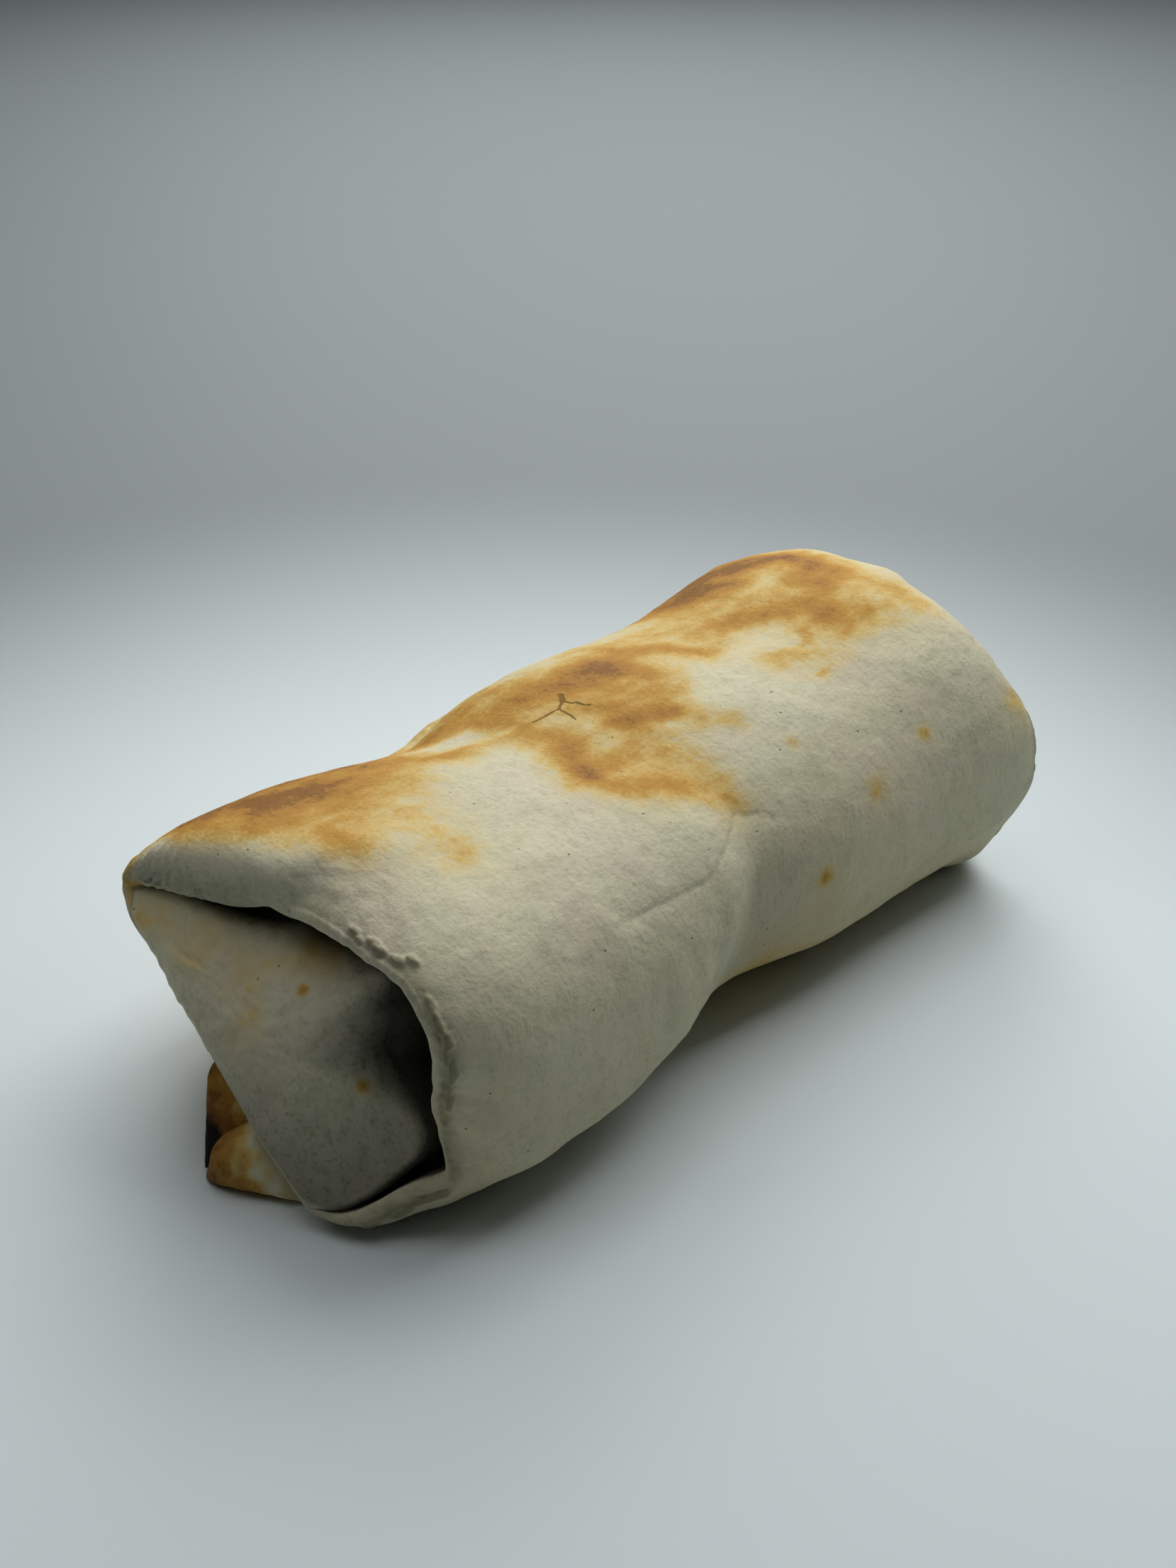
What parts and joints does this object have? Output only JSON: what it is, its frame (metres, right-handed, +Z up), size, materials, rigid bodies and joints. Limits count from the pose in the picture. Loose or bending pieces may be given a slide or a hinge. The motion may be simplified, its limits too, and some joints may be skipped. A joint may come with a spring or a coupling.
{
  "type": "burrito",
  "caption": "Whole flour-tortilla burrito, rolled, folded shut at both ends and toasted, lying on its base.",
  "frame": {"origin": "under the middle of the burrito's bounding box, on the surface it lies on", "axes": "+X along the roll towards its far end, +Y to the back, +Z up"},
  "size_m": [0.1734, 0.0836, 0.0553],
  "materials": {
    "tortilla": "matt toasted flour tortilla"
  },
  "bodies": {
    "root": {"tortilla": "tortilla"}
  },
  "joints": []
}
